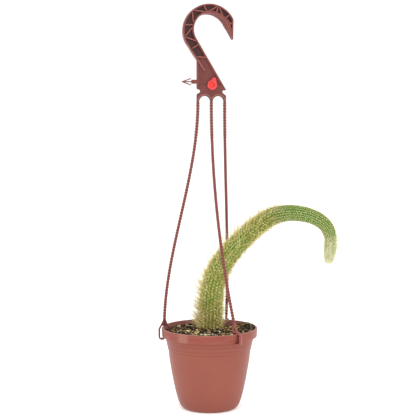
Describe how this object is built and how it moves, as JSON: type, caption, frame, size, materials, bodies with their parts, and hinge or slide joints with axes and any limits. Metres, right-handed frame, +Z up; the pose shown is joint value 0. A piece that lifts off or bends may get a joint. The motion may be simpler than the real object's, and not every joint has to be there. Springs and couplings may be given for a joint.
{
  "type": "potted monkey tail cactus",
  "caption": "Ribbed monkey tail cactus arching out of a terracotta plastic hanging pot, held by a moulded hook with corded strands and rim clips.",
  "frame": {"origin": "centre of the pot's flat underside", "axes": "+Z up along the pot's axis, -Y towards the viewer of the hook's ribbed face, +X towards the side over which the cactus arches"},
  "size_m": [0.2151, 0.1153, 0.4809],
  "materials": {
    "terracotta_plastic": "moulded terracotta-coloured plastic with a soft sheen",
    "potting_mix": "dark peat and bark mix with pale perlite",
    "cactus_skin": "green waxy skin under pale yellow spines",
    "hanger_plastic": "moulded reddish-brown plastic",
    "red_plastic": "bright coral red moulded plastic"
  },
  "bodies": {
    "root": {"pot": "terracotta_plastic", "soil": "potting_mix", "cactus_stem": "cactus_skin", "hanger": "hanger_plastic", "red_plug": "red_plastic"}
  },
  "joints": []
}
